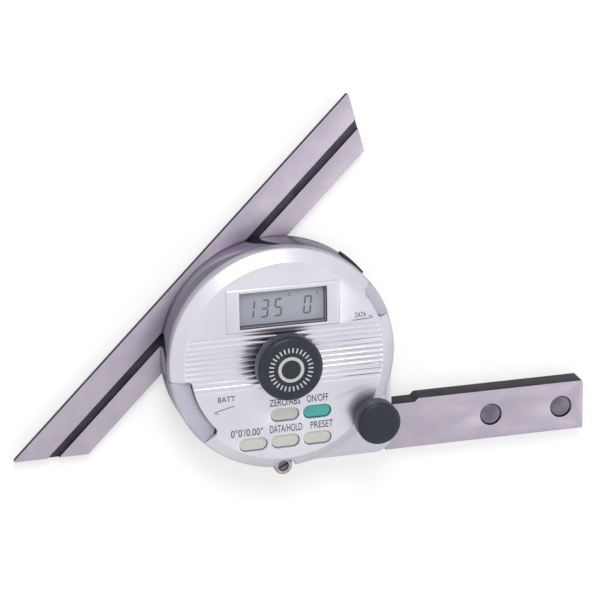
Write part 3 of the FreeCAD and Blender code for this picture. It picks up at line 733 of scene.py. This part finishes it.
# keys, lids and small parts
copies = [
    # frame node, piece name, finish, body, slot, edge
    ("key_units", "keyUnits", "creamKey", "key_units", "cream_key", 0.05),
    ("key_hold", "keyHold", "creamKey", "key_hold", "cream_key", 0.05),
    ("key_preset", "keyPreset", "creamKey", "key_preset", "cream_key", 0.05),
    ("key_zero", "keyZero", "creamKey", "key_zero", "cream_key", 0.05),
    ("key_power", "keyPower", "greenKey", "key_power", "green_key", 0.05),
    ("battery_drawer", "batteryDrawer", "lid", "battery_drawer", "grey_lid", 0.12),
    ("data_port_cover", "dataPortCover", "lid", "data_port_cover", "grey_lid", 0.12),
    ("port_plug", "portPlug", "rubber", "port_plug", "black_rubber", 0.15),
    ("accessory_bush", "accessoryBush", "worn", "root", "bright_steel", 0.08),
    ("accessory_screw", "accessoryScrew", "plug", "root", "dark_steel", 0.06),
    ("stock_plugs", "stockPlugs", "plug", "root", "dark_steel", 0.1),
    ("stock_screws", "stockScrews", "dark", "root", "dark_steel", 0.06),
    ("turret_plate", "turretPlate", "turned", "turret", "turned_steel", 0.12),
    ("clamp_plate", "clampPlate", "turned", "turret", "turned_steel", 0.1),
    ("blade_clamp_screw", "bladeClampScrew", "dark", "blade_clamp", "dark_steel", 0.08),
]
for node, name, finish, body, slotName, edge in copies:
    piece = copyOf(node, name)
    soften(piece, edge)
    paint(piece, finishes[finish])
    handOver(piece, body, slotName, node)
print("keys, lids and small parts made")


# display digits
digits = {
    "low": 13.9, "height": 5.75, "width": 2.5, "stroke": 0.58, "gap": 0.12, "slant": 0.11,
    "ink": 0.02,
    "shown": [(-9.75, "1"), (-5.45, "3"), (-1.3, "5"), (7.75, "0")],
    "marks": [(1.7, 20.35, "ring"), (10.35, 20.2, "dash")],
}
shadeGasket = {"opening": (-13.7, 13.1, 11.65, 22.8), "width": 0.42, "height": 0.35}
segments = {"0": "abcdef", "1": "bc", "3": "abcdg", "5": "acdfg"}


def makeDigits():
    low, high = levels["displayTop"] + 0.003, levels["displayTop"] + digits["ink"]
    height, width, stroke = digits["height"], digits["width"], digits["stroke"]
    half, gap = height / 2, digits["gap"]
    # side, height of the middle, and whether the bar lies flat
    bars = {
        "a": (0, height - stroke / 2, True), "g": (0, half, True), "d": (0, stroke / 2, True),
        "b": (1, half * 1.5, False), "c": (1, half * 0.5, False),
        "f": (-1, half * 1.5, False), "e": (-1, half * 0.5, False),
    }
    made = []
    for x, figure in digits["shown"]:
        for letter in segments[figure]:
            side, y, flat = bars[letter]
            place = side * (width - stroke) / 2
            reach = (width - stroke - gap, stroke) if flat else (stroke, half - stroke / 2 - gap)
            bar = cube("bar", x + place - reach[0] / 2, x + place + reach[0] / 2,
                       digits["low"] + y - reach[1] / 2, digits["low"] + y + reach[1] / 2, low, high)
            pickEdges(bar, lambda a, b: abs(a.x - b.x) + abs(a.y - b.y) < 1e-4)
            bpy.ops.mesh.bevel(offset=stroke * 0.42 * mm, segments=1, affect="EDGES")
            endEdit()
            made.append(bar)
    for x, y, kind in digits["marks"]:
        if kind == "ring":
            made.append(lathe("mark", [(0.2, low), (0.42, low), (0.42, high), (0.2, high)], x, y, 24, True))
        else:
            made.append(cube("mark", x - 0.16, x + 0.16, y - 0.45, y + 0.45, low, high))
    joinAll(made, "displayDigits")
    piece = made[0]
    # the figures lean to the right about their mid height
    lean = Matrix.Identity(4)
    lean[0][1] = digits["slant"]
    lean[0][3] = -digits["slant"] * (digits["low"] + half) * mm
    piece.data.transform(lean)
    paint(piece, finishes["segmentInk"])
    handOver(piece, "root", "lcd_face")


def makeShadeGasket():
    # a dark rubber frame lying on the display's face inside the opening, put there as painted shade along
    # the edges of the recess
    low, high = levels["displayTop"] + 0.002, levels["displayTop"] + shadeGasket["height"]
    x0, x1, y0, y1 = shadeGasket["opening"]
    piece = cube("displayShadeGasket", x0, x1, y0, y1, low, high)
    startEdit(piece, "FACE")
    for face in piece.data.polygons:
        face.select = abs(face.normal.z) > 0.9
    bpy.ops.object.mode_set(mode="EDIT")
    bpy.ops.mesh.inset(thickness=shadeGasket["width"] * mm)
    bpy.ops.mesh.bridge_edge_loops()
    endEdit()
    soften(piece, 0.05)
    paint(piece, finishes["rubber"])
    handOver(piece, "root", "black_rubber")


makeDigits()
makeShadeGasket()
print("display digits and frame made")


# printed words
labels = [
    # name, words, left, right, low, high
    ("labelUnits", "0\u00b00'/0.00\u00b0", -17.2, -7.2, -22.6, -20.2),
    ("labelHold", "DATA/HOLD", -5.1, 5.0, -22.5, -20.1),
    ("labelPreset", "PRESET", 7.6, 14.7, -22.4, -20.1),
    ("labelPower", "ON/OFF", 6.6, 13.3, -13.8, -11.5),
    ("labelZero", "ZERO/ABS", -5.0, 4.5, -14.0, -11.7),
    ("labelBattery", "BATT", -20.9, -15.6, -10.9, -9.2),
    ("labelData", "DATA", 22.0, 25.4, 11.7, 13.3),
]


def makeLabel(name, words, left, right, low, high):
    clearSelection()
    bpy.ops.object.text_add()
    piece = bpy.context.object
    piece.name = name
    piece.data.body = words
    piece.data.size = 4 * mm
    piece.data.extrude = 0.01 * mm
    piece.data.offset = 0.02 * mm
    bpy.ops.object.convert(target="MESH")
    corners = [v.co.copy() for v in piece.data.vertices]
    lowX, highX = min(c.x for c in corners), max(c.x for c in corners)
    lowY, highY = min(c.y for c in corners), max(c.y for c in corners)
    piece.data.transform(Matrix.Translation((-lowX, -lowY, 0)))
    piece.scale = ((right - left) * mm / (highX - lowX), (high - low) * mm / (highY - lowY), 1)
    piece.location = (left * mm, low * mm, (levels["face"] + 0.011) * mm)
    settle(piece)
    paint(piece, finishes["darkInk"])
    handOver(piece, "root", "satin_cover")


for label in labels:
    makeLabel(*label)


def makeArrow(name, tailX, tailY, tipX, tipY):
    # a thin rule with a slanted arrow head
    low, high = levels["face"] + 0.002, levels["face"] + 0.022
    length = math.hypot(tipX - tailX, tipY - tailY)
    rule = stadium("rule", length / 2, 0, length, 0.22, low, high)
    head = stadium("head", length - 0.6, 0.32, 1.5, 0.2, low, high)
    # the head turns about the tip
    slant = math.radians(-28)
    head.rotation_euler.z = slant
    head.location = ((length - length * math.cos(slant)) * mm, -length * math.sin(slant) * mm, 0)
    settle(head)
    joinAll([rule, head], name)
    rule.rotation_euler.z = math.atan2(tipY - tailY, tipX - tailX)
    rule.location = (tailX * mm, tailY * mm, 0)
    settle(rule)
    paint(rule, finishes["darkInk"])
    handOver(rule, "root", "satin_cover")


makeArrow("arrowBattery", -15.8, -12.4, -21.9, -13.9)
makeArrow("arrowData", 21.3, 10.9, 27.3, 11.2)
print("printed words made")


# inner and lesser parts keep the frame's shape
plainFinish = {
    "display_window": "window", "lcd_panel": "display", "lcd_connector": "rubber",
    "circuit_board": "board", "key_domes": "bright", "battery_contacts": "brass", "data_connector": "rubber",
    "encoder_stator": "board", "spindle_bush": "brass", "fine_drive_bush": "brass", "cover_screws": "dark",
    "ring_gear": "brass", "encoder_rotor": "board", "spindle": "bright", "thrust_washer": "washer",
    "guide_key": "bright", "pinion": "bright", "battery": "bright",
}
for node, name in plainFinish.items():
    paint(frame["nodes"][node], finishes[name])
print("inner parts painted")
